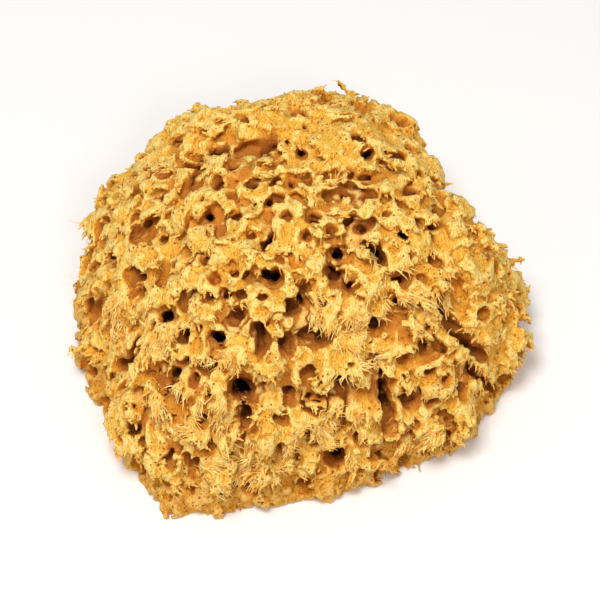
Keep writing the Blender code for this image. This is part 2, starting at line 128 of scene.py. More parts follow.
# The channels that water flowed through, round and smooth walled. Each is a string of points down its middle.
# The first lists were measured in the photograph: right and up of the middle of the base, radius, depth.
DEEP_CHANNELS = (
    (-32, 39, 2.6, 40), (27, 26, 2.2, 36), (12.5, 26, 3.0, 44), (10.5, 20.5, 2.2, 40), (-12, 19, 2.8, 40),
    (-8.5, 18, 3.2, 42), (0.5, 10, 2.4, 34), (-29, -3, 3.4, 46), (-47, 5, 3.2, 36), (-20, -22, 5.0, 52),
    (16.5, 14, 2.0, 30), (36.5, 33, 2.0, 30), (23.5, 61, 2.2, 30), (0, 62, 2.2, 32), (-11.5, 43.5, 1.8, 28),
    (35, 8, 3.0, 36), (28.5, -22, 2.6, 38), (12, -44, 4.0, 40), (30, -27, 2.4, 34), (24.5, -12.5, 2.2, 30),
)
BROWN_PITS = (
    (-29.5, 64, 3.8, 18), (-57.5, 38, 2.4, 12), (-43, 67, 2.2, 9), (-28.5, 52, 2.6, 10), (-24, 58, 2.2, 9),
    (-50, 55, 2.8, 8), (-19, 73, 2.4, 10), (0, 76, 2.4, 9), (23, 75, 3.6, 12), (20, 66, 2.4, 12),
    (-17, 52, 2.4, 14), (-10, 52, 2.0, 12), (-3, 52, 2.2, 14), (-8, 46, 2.0, 14), (10.5, 54, 2.6, 14),
    (17, 49, 3.0, 12), (25, 46.5, 2.4, 14), (-23, 40, 2.2, 12), (5, 40, 2.4, 10), (17, 38.5, 2.4, 12),
    (23, 36.5, 2.2, 14), (2.5, 33, 1.8, 10), (25, 28.5, 2.4, 16), (36, 70, 2.2, 8), (39.5, 64, 2.0, 9),
    (42.5, 55, 2.4, 10), (40, 48.5, 2.4, 12), (50, 42, 2.8, 12), (48, 36, 2.4, 12), (59, 34, 2.8, 9),
    (-58, 19, 3.4, 14), (-57, 13, 2.4, 10), (-71, 22.5, 2.2, 9), (-51.5, 13.5, 2.4, 9), (-34, 25, 2.0, 12),
    (-32, 11.5, 2.2, 10), (-26.5, 12, 2.2, 16), (-41, 9, 2.6, 12), (-43, -2.5, 3.2, 16),
    (-22, 3.5, 3.0, 12), (-67, -1.5, 2.2, 9), (-57, -4.5, 2.2, 10), (-64, -13, 2.4, 10),
    (-47, -17.5, 3.4, 16), (-33.5, -14, 3.4, 12), (-38, -19, 2.2, 10), (-54, -22.5, 2.4, 14),
    (-21, 11.5, 2.2, 9), (-2, 8, 3.4, 14), (2.5, 14.5, 2.6, 12), (13, 18.5, 3.2, 16), (29, 24, 2.2, 16),
    (36, 17.5, 2.6, 18), (48, 23.5, 2.6, 10), (9, -0.5, 2.6, 16), (-4, -6, 3.0, 14), (-14, -3, 2.8, 12),
    (6, -4, 3.0, 10), (28, 1, 3.8, 22), (3, -15, 2.8, 12), (15, -21, 3.4, 14), (44, -8, 3.2, 12),
    (36.5, -10.5, 3.0, 18), (46.5, -15, 2.2, 14), (31, -19.5, 2.8, 14), (75, -6.5, 3.2, 8),
    (62.5, 5.5, 2.4, 8), (72, -17, 2.4, 8), (-57, -33.5, 2.4, 12), (-35, -32, 2.2, 12), (-43, -24, 2.6, 10),
    (-32, -42.5, 2.4, 12), (-51, -50, 2.6, 12), (-46, -46, 2.6, 10), (-38.5, -57, 1.8, 8),
    (-24, -57, 3.2, 12), (-18, -58, 3.2, 12), (-18, -34, 2.6, 16), (-20.5, -40.5, 2.4, 12),
    (-6.5, -31, 2.6, 12), (-2, -24, 3.0, 12), (4.5, -27, 2.6, 12), (4.5, -39.5, 2.2, 18),
    (-5.5, -50.5, 2.2, 12), (1, -55.5, 2.8, 12), (21, -38.5, 1.8, 10), (29, -46.5, 2.2, 10),
    (32, -34, 2.2, 18), (31, -40.5, 3.0, 14), (38.5, -26.5, 3.4, 12), (45.5, -26, 2.4, 14),
    (50, -30.5, 2.0, 10), (44.5, -40, 2.6, 10), (52, -39, 3.0, 10), (63, -22, 2.8, 10), (68, -27, 2.4, 8),
    (57, -22.5, 2.4, 12), (43.5, -44.5, 1.8, 12), (36.5, -48, 2.4, 8), (27, -51.5, 2.2, 10),
)
CLEFTS = (
    ((52, 18, 2.0, 14), (50, 10, 2.4, 18), (54, 2, 2.2, 20), (57, -4, 2.4, 20), (65, -10, 2.0, 14)),
    ((60, -14, 1.8, 14), (65, -19, 1.8, 14), (68, -22, 1.8, 12)),
    ((-36, 56, 2.4, 9), (-41, 49, 2.2, 9)),
    ((-13, 29, 1.4, 24), (-10, 34, 1.4, 20)),
    ((-8.5, 67.5, 1.8, 12), (-12.5, 65, 1.8, 12)),
    ((-14, 0, 2.4, 14), (-14, -7, 2.4, 12)),
    ((2, -3, 2.2, 12), (9, -4, 2.2, 14)),
    ((30, -24, 1.8, 26), (32, -32, 2.0, 24)),
    ((-20, -30, 2.4, 20), (-19, -36, 2.4, 16)),
)
PIT_SPACING = 12
PIT_RADII = (2.3, 3.9)
PIT_DEPTHS = (8, 16)
PIT_TRIES = 2600
DEEP_ALONG_SIGHT = 0.85
BROWN_ALONG_SIGHT = 0.3
CLEFT_ALONG_SIGHT = 0.4
CLEFT_WIDENING = 1.1
BASE_PIT_SPACING = 14
BASE_PIT_TRIES = 500
BASE_PIT_EDGE = 58
BASE_MIDDLE = 9
SEED = 7
POINT_STEP = 1.2
ABOVE_SURFACE = 9
SURFACE_POINT = round(ABOVE_SURFACE / POINT_STEP)
MOUTH_WIDTH = 1.15
THROAT_START = 3
THROAT_LENGTH = 6
THROAT_NARROWING = 0.4
END_NARROWING = 0.2
CHANNEL_FLOOR = 7
SHORTEST_CHANNEL = 6
STEEPEST_LEVEL = -0.1
LOWEST_MOUTH = 5
SMALL_PIT_SPACING = 6.5
SMALL_PIT_RADII = (0.8, 1.9)
SMALL_PIT_DEPTHS = (4, 9)
SMALL_PIT_TRIES = 6000


def surface_under(right, up):
    """Where the sight line through this place in the picture meets the dome, with the normal and the line."""
    sight = (across * right + upward * up) * MM - back * VIEW_DISTANCE
    sight.normalize()
    place, normal, _, _ = dome_tree.ray_cast(back * VIEW_DISTANCE, sight)
    return place, normal, sight


def channel(place, inward, radius, depth, outward):
    """Points down a channel's middle with its radius at each: a wide mouth, a long throat and a round end."""
    points = []
    if inward.z < STEEPEST_LEVEL:
        depth = min(depth, max(SHORTEST_CHANNEL, (place.z / MM - CHANNEL_FLOOR) / -inward.z))
    steps = max(2, round((depth + ABOVE_SURFACE) / POINT_STEP))
    for step in range(steps + 1):
        down = -ABOVE_SURFACE + (depth + ABOVE_SURFACE) * step / steps
        share = max(0, down / depth)
        throat = min(1, max(0, (down - THROAT_START) / THROAT_LENGTH))
        width = radius * (MOUTH_WIDTH - THROAT_NARROWING * throat - END_NARROWING * share * share)
        direction = outward * -1 if down < 0 else inward
        points.append((place + direction * down * MM, width * MM))
    return points


def cleft_channels(first, second):
    """Channels side by side between two measured places, close enough to run together."""
    length = math.hypot(second[0] - first[0], second[1] - first[1])
    count = max(1, math.ceil(length / POINT_STEP))
    made = []
    for step in range(count + 1):
        right, up, radius, depth = (a + (b - a) * step / count for a, b in zip(first, second))
        place, normal, sight = surface_under(right, up)
        if place is not None:
            inward = (sight * CLEFT_ALONG_SIGHT - normal * (1 - CLEFT_ALONG_SIGHT)).normalized()
            made.append(channel(place, inward, radius * CLEFT_WIDENING, depth, -inward))
    return made


def scattered_channels(taken, seed, tries, spacing, radii, depths):
    """Channels over the whole dome, no closer than their spacing to each other or to the places taken."""
    dice = random.Random(seed)
    mouths = list(taken)
    made = []
    for _ in range(tries):
        turn = dice.uniform(0, math.tau)
        slope = math.asin(dice.uniform(0, 1))
        aim = Vector((math.cos(turn) * math.cos(slope), math.sin(turn) * math.cos(slope), math.sin(slope)))
        place, normal, _, _ = dome_tree.ray_cast(aim, -aim)
        radius = dice.uniform(*radii)
        depth = dice.uniform(*depths)
        if place is None or place.z < LOWEST_MOUTH * MM:
            continue
        if any((place - mouth).length < spacing * MM for mouth in mouths):
            continue
        mouths.append(place)
        made.append(channel(place, -normal, radius, depth, normal))
    return made


strings = []
for pits, along_sight in ((DEEP_CHANNELS, DEEP_ALONG_SIGHT), (BROWN_PITS, BROWN_ALONG_SIGHT)):
    for right, up, radius, depth in pits:
        place, normal, sight = surface_under(right, up)
        if place is not None:
            inward = (sight * along_sight - normal * (1 - along_sight)).normalized()
            strings.append(channel(place, inward, radius, depth, -inward))
for cleft in CLEFTS:
    for first, second in zip(cleft, cleft[1:]):
        strings += cleft_channels(first, second)
taken = [string[SURFACE_POINT][0] for string in strings]
strings += scattered_channels(taken, SEED, PIT_TRIES, PIT_SPACING, PIT_RADII, PIT_DEPTHS)
dice = random.Random(SEED + 1)
mouths = []
for _ in range(BASE_PIT_TRIES):
    turn = dice.uniform(0, math.tau)
    away = BASE_PIT_EDGE * math.sqrt(dice.uniform(0, 1))
    place = Vector((away * math.cos(turn), away * math.sin(turn), 0)) * MM
    if away < BASE_MIDDLE:
        continue
    if any((place - mouth).length < BASE_PIT_SPACING * MM for mouth in mouths):
        continue
    mouths.append(place)
    up = Vector((0, 0, 1))
    strings.append(channel(place, up, dice.uniform(*PIT_RADII), dice.uniform(*PIT_DEPTHS), -up))


def channel_points(name, strings):
    """Every channel's points in one mesh, each with the channel's radius there."""
    points = [point for string in strings for point in string]
    mesh = bpy.data.meshes.new(name)
    mesh.vertices.add(len(points))
    mesh.vertices.foreach_set("co", [value for place, _ in points for value in place])
    radii = mesh.attributes.new("radius", "FLOAT", "POINT")
    radii.data.foreach_set("value", [radius for _, radius in points])
    guide = bpy.data.objects.new(name, mesh)
    bpy.context.scene.collection.objects.link(guide)
    guide.hide_render = True
    return guide


channels = channel_points("channels", strings)
small_taken = [string[SURFACE_POINT][0] for string in strings]
small_strings = scattered_channels(
    small_taken, SEED + 2, SMALL_PIT_TRIES, SMALL_PIT_SPACING, SMALL_PIT_RADII, SMALL_PIT_DEPTHS
)
small_channels = channel_points("small_channels", small_strings)


class Field:
    """Adds nodes to a node tree. Each call returns the new node's output."""

    def __init__(self, tree):
        self.tree = tree

    def node(self, kind, settings=None, output=0, **inputs):
        """A node with these settings. An input is named, or numbered as i0, i1 and so on."""
        made = self.tree.nodes.new(kind)
        for name, value in (settings or {}).items():
            setattr(made, name, value)
        for name, value in inputs.items():
            key = int(name[1:]) if name[0] == "i" and name[1:].isdigit() else name.replace("_", " ")
            socket = made.inputs[key]
            if isinstance(value, bpy.types.NodeSocket):
                self.tree.links.new(value, socket)
            else:
                socket.default_value = value
        return made.outputs[output]

    def math(self, operation, first, second=0.0, third=0.0):
        return self.node("ShaderNodeMath", {"operation": operation}, i0=first, i1=second, i2=third)

    def vector(self, operation, first, second, output="Vector"):
        return self.node("ShaderNodeVectorMath", {"operation": operation}, output, i0=first, i1=second)

    def scaled(self, direction, length):
        """The direction times the length."""
        return self.node("ShaderNodeVectorMath", {"operation": "SCALE"}, i0=direction, Scale=length)

    def split(self, place, axis):
        return self.node("ShaderNodeSeparateXYZ", output=axis, Vector=place)

    def noise(self, place, size, output=0, detail=1.0):
        """Soft noise whose lumps are this far apart: output 0 is a number, and output 1 a direction."""
        return self.node("ShaderNodeTexNoise", {}, output, Vector=place, Scale=1 / size, Detail=detail)

    def swing(self, place, size, height, detail=1.0):
        """Noise that swings up and down by about this height."""
        middled = self.math("SUBTRACT", self.noise(place, size, detail=detail), 0.5)
        return self.math("MULTIPLY", middled, height * 2)

    def drift(self, place, size, reach):
        """A push this way and that by about this reach."""
        middled = self.vector("SUBTRACT", self.noise(place, size, 1), (0.5, 0.5, 0.5))
        return self.vector("MULTIPLY", middled, (reach * 2,) * 3)

    def cells(self, place, size, feature="F1"):
        """The outputs of a Voronoi pattern whose cells are this far apart."""
        made = self.tree.nodes.new("ShaderNodeTexVoronoi")
        made.feature = feature
        made.inputs["Scale"].default_value = 1 / size
        self.tree.links.new(place, made.inputs["Vector"])
        return made.outputs

    def squeezed(self, place, share):
        """The place with its distances along HANG shortened by this share, so that noise stretches there."""
        along = self.math("MULTIPLY", self.vector("DOT_PRODUCT", place, HANG, "Value"), -share)
        return self.vector("ADD", place, self.scaled(HANG, along))

    def ramp(self, value, start, end, low=0.0, high=1.0):
        """A smooth rise from low to high as the value goes from start to end."""
        return self.node(
            "ShaderNodeMapRange",
            {"interpolation_type": "SMOOTHSTEP"},
            Value=value,
            From_Min=start,
            From_Max=end,
            To_Min=low,
            To_Max=high,
        )


def new_tree(name, *numbers, geometry_in=False):
    """An empty geometry node tree with these numbers and, if asked, a geometry as its named inputs."""
    tree = bpy.data.node_groups.new(name, "GeometryNodeTree")
    if geometry_in:
        tree.interface.new_socket("Geometry", in_out="INPUT", socket_type="NodeSocketGeometry")
    for number in numbers:
        tree.interface.new_socket(number, in_out="INPUT", socket_type="NodeSocketFloat")
    tree.interface.new_socket("Geometry", in_out="OUTPUT", socket_type="NodeSocketGeometry")
    return tree, Field(tree), tree.nodes.new("NodeGroupInput").outputs


# The body of the sponge: a springy skeleton of fine fibre, torn into pads, flaps and teeth that hang down the
# picture over hollows and crevices. Geometry Nodes work it out as one field and fill that with a surface.
LUMPS = ((34, 7.0), (12, 5.5))
GROOVE_HEIGHT = 12
GROOVE_DEPTH = 2.6
GROOVE_WIDTH = 3.2
HANG = Vector((0, -0.82, -0.57))
UNDERCUT = 0.55
CHANNEL_UNDERCUT = 0.15
HANGING_LAYER = (-8.0, 2.0)
HANGING_FRONT = (-0.95, -0.5, 0.25, 1.0)
QUIET_SIDES = (0.45, 0.95, 1.0, 0.6)
FRAYED_LAYER = (-3.5, -0.5)
FRAY_SIZE = 1.9
FRAY = 1.4
TEETH_SIZE = 2.1
TEETH = 2.3
TEETH_STRETCH = 0.7


def envelope_field(field, place):
    """How far outside the lumpy skin a place is, its height, both in millimetres, and how the dome faces."""
    metres = field.vector("MULTIPLY", place, (MM,) * 3)
    shape = field.node("GeometryNodeObjectInfo", output="Geometry", i0=dome)
    nearest = field.tree.nodes.new("GeometryNodeProximity")
    field.tree.links.new(shape, nearest.inputs[0])
    field.tree.links.new(metres, nearest.inputs["Source Position"])
    facing = field.node(
        "GeometryNodeSampleNearestSurface",
        {"data_type": "FLOAT_VECTOR"},
        Mesh=shape,
        Value=field.node("GeometryNodeInputNormal"),
        Sample_Position=metres,
    )
    outward = field.vector("SUBTRACT", metres, nearest.outputs["Position"])
    side = field.math("SIGN", field.vector("DOT_PRODUCT", outward, facing, "Value"))
    skin = field.math("MULTIPLY", field.math("MULTIPLY", nearest.outputs["Distance"], side), 1 / MM)
    for size, height in LUMPS:
        skin = field.math("SUBTRACT", skin, field.swing(place, size, height))
    height_here = field.split(place, "Z")
    off_groove = field.math("DIVIDE", field.math("SUBTRACT", height_here, GROOVE_HEIGHT), GROOVE_WIDTH)
    squared = field.math("MULTIPLY", off_groove, off_groove)
    groove = field.math("EXPONENT", field.math("MULTIPLY", squared, -1.0))
    return field.math("MULTIPLY_ADD", groove, GROOVE_DEPTH, skin), height_here, facing


def bored_field(field, place, strings):
    """How far inside the nearest of these strings of round points a place is, in millimetres."""
    metres = field.vector("MULTIPLY", place, (MM,) * 3)
    points = field.node("GeometryNodeObjectInfo", output="Geometry", i0=strings)
    middle = field.node(
        "GeometryNodeProximity", {"target_element": "POINTS"}, "Distance", i0=points, Source_Position=metres
    )
    index = field.node("GeometryNodeSampleNearest", {"domain": "POINT"}, i0=points, Sample_Position=metres)
    radius = field.node(
        "GeometryNodeSampleIndex",
        {"data_type": "FLOAT", "domain": "POINT"},
        i0=points,
        Value=field.node("GeometryNodeInputNamedAttribute", {"data_type": "FLOAT"}, Name="radius"),
        Index=index,
    )
    return field.math("MULTIPLY", field.math("SUBTRACT", radius, middle), 1 / MM)


def torn_places(field, place, envelope, facing):
    """The place pushed about near the skin: frayed, and then let down with teeth for pads and channels."""
    near_skin = field.ramp(envelope, *FRAYED_LAYER)
    sideways = field.math("ABSOLUTE", field.split(facing, "X"))
    quiet = field.ramp(sideways, *QUIET_SIDES)
    near_skin = field.math("MULTIPLY", near_skin, quiet)
    hanging = field.ramp(field.vector("DOT_PRODUCT", facing, HANG, "Value"), *HANGING_FRONT)
    squashed = field.squeezed(place, TEETH_STRETCH)
    teeth = field.math("MULTIPLY", field.swing(squashed, TEETH_SIZE, TEETH, detail=2.0), near_skin)
    frayed = field.vector("ADD", place, field.scaled(field.drift(place, FRAY_SIZE, FRAY), near_skin))
    lowest, highest = HANGING_LAYER
    layer = field.math("MINIMUM", field.math("MAXIMUM", envelope, lowest), highest)
    layer = field.math("MULTIPLY", layer, hanging)
    let_down = []
    for undercut in (UNDERCUT, CHANNEL_UNDERCUT):
        push = field.math("MULTIPLY_ADD", layer, -undercut, teeth)
        let_down.append(field.vector("ADD", frayed, field.scaled(HANG, push)))
    torn, lipped = let_down
    return squashed, frayed, torn, lipped, quiet, hanging


PAD_SIZE = 5.4
PAD_HEIGHT = 0.8
PAD_EDGE = (0.42, 0.54)
FLAP_SIZE = 8.0
FLAP_HEIGHT = 1.6
FLAP_TILT = 3.0
FLAP_DRIFT = (4.5, 2.2)
RIM_TOP = 18
FLAPS_UP_THE_WALL = (12, RIM_TOP, 0.2, 1.0)


def flaps_field(field, place, torn, height_here, quiet, hanging):
    """How far the pads and tilted flaps stand out, in millimetres."""
    pads = field.ramp(field.noise(torn, PAD_SIZE), *PAD_EDGE, -PAD_HEIGHT, PAD_HEIGHT)
    flap_place = field.vector("ADD", torn, field.drift(place, *FLAP_DRIFT))
    flaps = field.cells(flap_place, FLAP_SIZE)
    step = field.math("SUBTRACT", field.split(flaps["Color"], "X"), 0.5)
    from_middle = field.vector("SUBTRACT", flap_place, flaps["Position"])
    down = field.vector("DOT_PRODUCT", from_middle, HANG, "Value")
    tilt = field.math("MULTIPLY", down, FLAP_TILT / FLAP_SIZE)
    raised = field.math("MULTIPLY_ADD", step, FLAP_HEIGHT * 2, field.math("MULTIPLY", tilt, hanging))
    raised = field.math("ADD", raised, pads)
    raised = field.math("MULTIPLY", raised, field.ramp(height_here, *FLAPS_UP_THE_WALL))
    return field.math("MULTIPLY", raised, quiet)


FLUTE_SIZE = 3.4
FLUTE_HEIGHT = 2.4
FLUTE_STRETCH = (1, 1, 0.16)
FLUTED_LOW = (12, 30, 1.0, 0.0)
FLUTED_FLANK = (40, 60)
RIM_WAVES = (((1, 1, 0.2), 5.0, 3.0), ((1, 1, 0.1), 24, 10))
RIM_STEP = (RIM_TOP - 0.8, RIM_TOP + 0.8)
RIM_FADE = (22, 36, 1.0, 0.0)
RIM_OVERHANG = 3.2
RIM_PATCH_SIZE = 18
RIM_PATCHES = (0.36, 0.56, 0.1, 1.0)
PLEAT_SIZE = 4.2
PLEAT_DEPTH = 3.2
PLEAT_WIDTH = 0.045
PLEATED_WALL = (RIM_TOP - 2, RIM_TOP + 6, 1.0, 0.0)


def rim_field(field, skin, place, frayed, height_here):
    """The skin with upright flutes and pleats low down and on the right flank, and a rim over the wall."""
    upright = field.vector("MULTIPLY", frayed, FLUTE_STRETCH)
    low_down = field.ramp(height_here, *FLUTED_LOW)
    on_flank = field.ramp(field.split(place, "X"), *FLUTED_FLANK)
    flutes = field.swing(upright, FLUTE_SIZE, FLUTE_HEIGHT)
    flutes = field.math("MULTIPLY", flutes, field.math("MAXIMUM", low_down, on_flank))
    skin = field.math("SUBTRACT", skin, flutes)
    rim = height_here
    for wave_place, (stretch, size, reach) in zip((frayed, place), RIM_WAVES):
        rim = field.math("ADD", rim, field.swing(field.vector("MULTIPLY", wave_place, stretch), size, reach))
    overhang = field.math("MULTIPLY", field.ramp(rim, *RIM_STEP), field.ramp(rim, *RIM_FADE))
    overhang = field.math("MULTIPLY", overhang, field.ramp(field.noise(place, RIM_PATCH_SIZE), *RIM_PATCHES))
    skin = field.math("SUBTRACT", skin, field.math("MULTIPLY", overhang, RIM_OVERHANG))
    pleat = field.math("ABSOLUTE", field.math("SUBTRACT", field.noise(upright, PLEAT_SIZE), 0.5))
    slit = field.ramp(pleat, 0.0, PLEAT_WIDTH, 1.0, 0.0)
    slit = field.math("MULTIPLY", slit, field.ramp(height_here, *PLEATED_WALL))
    return field.math("MULTIPLY_ADD", slit, PLEAT_DEPTH, skin)


CALM_PLACES = ((66, 14, 14), (62, 0, 10), (70, -6, 8), (14, 72, 14), (-8, 74, 8), (-60, 20, 6), (58, 30, 10))
CALM_REACH = (-9.0, 6.0)
TUFT_SIZE = 13
TUFT_DRIFT = (7.0, 3.0)
CREVICE_DEPTH = 5.0
CREVICE_EDGE = (0.5, 2.6, 1.0, 0.0)
CREVICED_PLACES = ((-45, -28, 16), (-28, -48, 12), (-60, -10, 10), (30, -40, 14), (0, -45, 10), (55, -32, 10))
CREVICED_REACH = (-6.0, 2.0)
CREVICED_PATCH_SIZE = 15
CREVICED_PATCHES = (0.5, 0.6)


def picture_places(name, measured):
    """Round points on the dome for places measured in the photograph: right, up and reach."""
    found = [(surface_under(right, up)[0], reach * MM) for right, up, reach in measured]
    return channel_points(name, [[(place, reach) for place, reach in found if place is not None]])


calm_places = picture_places("calm_places", CALM_PLACES)
creviced_places = picture_places("creviced_places", CREVICED_PLACES)


def crevice_field(field, place, torn, calm, above_band):
    """How open the crevices between tufts are, from 0 to 1."""
    tuft_place = field.vector("ADD", torn, field.drift(place, *TUFT_DRIFT))
    tufts = field.cells(tuft_place, TUFT_SIZE, "DISTANCE_TO_EDGE")
    crevice = field.ramp(field.math("MULTIPLY", tufts["Distance"], TUFT_SIZE), *CREVICE_EDGE)
    patches = field.ramp(field.noise(place, CREVICED_PATCH_SIZE), *CREVICED_PATCHES)
    patches = field.math("MULTIPLY", patches, field.math("SUBTRACT", 1.0, calm))
    measured = field.ramp(bored_field(field, place, creviced_places), *CREVICED_REACH)
    crevice = field.math("MULTIPLY", crevice, field.math("MAXIMUM", patches, measured))
    return field.math("MULTIPLY", crevice, above_band)


BASE_BAND = (14, 19)
PIT_DRIFTS = ((9, 2.4), (3.4, 2.2))
SMALL_PIT_DRIFT = (2.8, 1.5)
SMALL_PIT_FADE = 3.0
HOLLOWS = ((10.5, 0.395, 8.5), (5.2, 0.365, 4.5))
HOLLOW_FLOOR = (4.5, 3.2)
HOLLOW_CHANGE_SIZE = 26
HOLLOW_CHANGE = 0.06
CALM = 0.14


def hollowed_field(field, skin, place, frayed, torn, lipped, envelope, calm, above_band):
    """The skin less the channels, the small pits, and hollows of two sizes with rough floors."""
    strayed = lipped
    for size, reach in PIT_DRIFTS:
        strayed = field.vector("ADD", strayed, field.drift(place, size, reach))
    solid = field.math("MAXIMUM", skin, bored_field(field, strayed, channels))
    small_place = field.vector("ADD", frayed, field.drift(place, *SMALL_PIT_DRIFT))
    small = field.math("SUBTRACT", bored_field(field, small_place, small_channels), SMALL_PIT_FADE)
    kept = field.math("MINIMUM", above_band, field.math("SUBTRACT", 1.0, calm))
    small = field.math("MULTIPLY_ADD", kept, SMALL_PIT_FADE, small)
    solid = field.math("MAXIMUM", solid, small)
    change = field.math("MULTIPLY_ADD", calm, -CALM, field.swing(place, HOLLOW_CHANGE_SIZE, HOLLOW_CHANGE))
    floor_height = field.math("ADD", envelope, field.swing(frayed, *HOLLOW_FLOOR))
    for size, share, deepest in HOLLOWS:
        openness = field.math("ADD", change, share)
        hollow = field.math("MULTIPLY", field.math("SUBTRACT", openness, field.noise(torn, size)), size)
        hollow = field.math("MINIMUM", hollow, field.math("ADD", floor_height, deepest))
        hollow = field.math("ADD", hollow, field.math("MULTIPLY_ADD", above_band, deepest, -deepest))
        solid = field.math("MAXIMUM", solid, hollow)
    return solid


BOX_MARGIN = 0.3


def boxed_field(field, solid, place, height_here):
    """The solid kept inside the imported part's box, and cut off flat underneath."""
    middle = (cad_low + cad_high) / 2 / MM
    room = (cad_high - cad_low) / 2 / MM - Vector((BOX_MARGIN,) * 3)
    from_middle = field.vector("ABSOLUTE", field.vector("SUBTRACT", place, middle), middle)
    beyond = field.vector("SUBTRACT", from_middle, room)
    for axis in "XYZ":
        solid = field.math("MAXIMUM", solid, field.split(beyond, axis))
    return field.math("MAXIMUM", solid, field.math("MULTIPLY", height_here, -1.0))


GRAIN_SIZE = 1.2
GRAIN_HEIGHT = 0.5
VOXEL = 0.8 * MM
VOLUME_BORDER = 3 * MM
SOFT_EDGE = 4.0
BODY_TRIANGLES = 198000


def body_tree():
    """Fills the dome with sponge: lumps and torn flaps, less the channels, as one closed surface."""
    tree, field, inputs = new_tree("sponge_body", "Voxel")
    place = field.vector("MULTIPLY", field.node("GeometryNodeInputPosition"), (1 / MM,) * 3)
    envelope, height_here, facing = envelope_field(field, place)
    above_band = field.ramp(height_here, *BASE_BAND)
    calm = field.ramp(bored_field(field, place, calm_places), *CALM_REACH)
    squashed, frayed, torn, lipped, quiet, hanging = torn_places(field, place, envelope, facing)
    skin = field.math("SUBTRACT", envelope, flaps_field(field, place, torn, height_here, quiet, hanging))
    skin = field.math("SUBTRACT", skin, field.swing(squashed, GRAIN_SIZE, GRAIN_HEIGHT, detail=2.0))
    skin = rim_field(field, skin, place, frayed, height_here)
    crevice = crevice_field(field, place, torn, calm, above_band)
    skin = field.math("MULTIPLY_ADD", crevice, CREVICE_DEPTH, skin)
    solid = hollowed_field(field, skin, place, frayed, torn, lipped, envelope, calm, above_band)
    solid = field.math("MULTIPLY", boxed_field(field, solid, place, height_here), MM)

    voxel = inputs["Voxel"]
    border = Vector((VOLUME_BORDER,) * 3)
    low = cad_low - border
    high = cad_high + border
    depth_share = field.math("DIVIDE", solid, field.math("MULTIPLY", voxel, SOFT_EDGE))
    density = field.math("SUBTRACT", 0.5, depth_share)
    block = tree.nodes.new("GeometryNodeVolumeCube")
    tree.links.new(field.node("ShaderNodeClamp", Value=density), block.inputs["Density"])
    block.inputs["Min"].default_value = low
    block.inputs["Max"].default_value = high
    for axis, name in enumerate("XYZ"):
        steps = field.math("DIVIDE", high[axis] - low[axis], voxel)
        tree.links.new(steps, block.inputs["Resolution " + name])
    surface = field.node(
        "GeometryNodeVolumeToMesh", {"resolution_mode": "GRID"}, Volume=block.outputs[0], Threshold=0.5
    )

    island = field.node("GeometryNodeInputMeshIsland")
    share = field.node(
        "GeometryNodeAccumulateField",
        {"data_type": "INT", "domain": "FACE"},
        "Total",
        Value=1,
        Group_Index=island,
    )
    faces = field.node("GeometryNodeAttributeDomainSize", {"component": "MESH"}, "Face Count", i0=surface)
    stray = field.node(
        "FunctionNodeCompare",
        {"data_type": "FLOAT", "operation": "LESS_THAN"},
        A=share,
        B=field.math("MULTIPLY", faces, 0.5),
    )
    kept = field.node("GeometryNodeDeleteGeometry", {"domain": "FACE"}, i0=surface, Selection=stray)
    triangles = field.node("GeometryNodeTriangulate", i0=kept)
    tree.links.new(triangles, tree.nodes.new("NodeGroupOutput").inputs[0])
    return tree


CREST_BLUR = 6


def marks_tree(material):
    """Notes on each point how deep it lies, how far it stands out, both in millimetres, and how it faces."""
    tree, field, inputs = new_tree("sponge_marks", geometry_in=True)
    metres = field.node("GeometryNodeInputPosition")
    envelope, _, facing = envelope_field(field, field.vector("MULTIPLY", metres, (1 / MM,) * 3))
    lifted = field.math("MAXIMUM", field.split(metres, "Z"), 0.0)
    level = field.node(
        "ShaderNodeCombineXYZ", X=field.split(metres, "X"), Y=field.split(metres, "Y"), Z=lifted
    )
    flat = field.node("GeometryNodeSetPosition", Geometry=inputs["Geometry"], Position=level)
    blurred = field.node(
        "GeometryNodeBlurAttribute", {"data_type": "FLOAT_VECTOR"}, Value=metres, Iterations=CREST_BLUR
    )
    normal = field.node("GeometryNodeInputNormal")
    standing = field.vector("DOT_PRODUCT", field.vector("SUBTRACT", metres, blurred), normal, "Value")
    marks = {
        "depth": field.math("MULTIPLY", envelope, -1.0),
        "crest": field.math("DIVIDE", standing, MM),
        "outward": field.vector("DOT_PRODUCT", facing, normal, "Value"),
    }
    marked = flat
    for name, value in marks.items():
        marked = field.node(
            "GeometryNodeStoreNamedAttribute",
            {"data_type": "FLOAT", "domain": "POINT"},
            Geometry=marked,
            Name=name,
            Value=value,
        )
    smooth = field.node("GeometryNodeSetShadeSmooth", i0=marked, Shade_Smooth=True)
    real = field.node("GeometryNodeRealizeInstances", i0=smooth)
    finished = field.node("GeometryNodeSetMaterial", Geometry=real, Material=material)
    tree.links.new(finished, tree.nodes.new("NodeGroupOutput").inputs[0])
    return tree


def mix_colours(nodes, links, factor, first, second):
    """A node that blends two colours by a factor, each a value or a socket."""
    mix = nodes.new("ShaderNodeMix")
    mix.data_type = "RGBA"
    for name, value in (("Factor_Float", factor), ("A_Color", first), ("B_Color", second)):
        target = next(socket for socket in mix.inputs if socket.identifier == name)
        if isinstance(value, bpy.types.NodeSocket):
            links.new(value, target)
        else:
            target.default_value = value
    return next(socket for socket in mix.outputs if socket.identifier == "Result_Color")


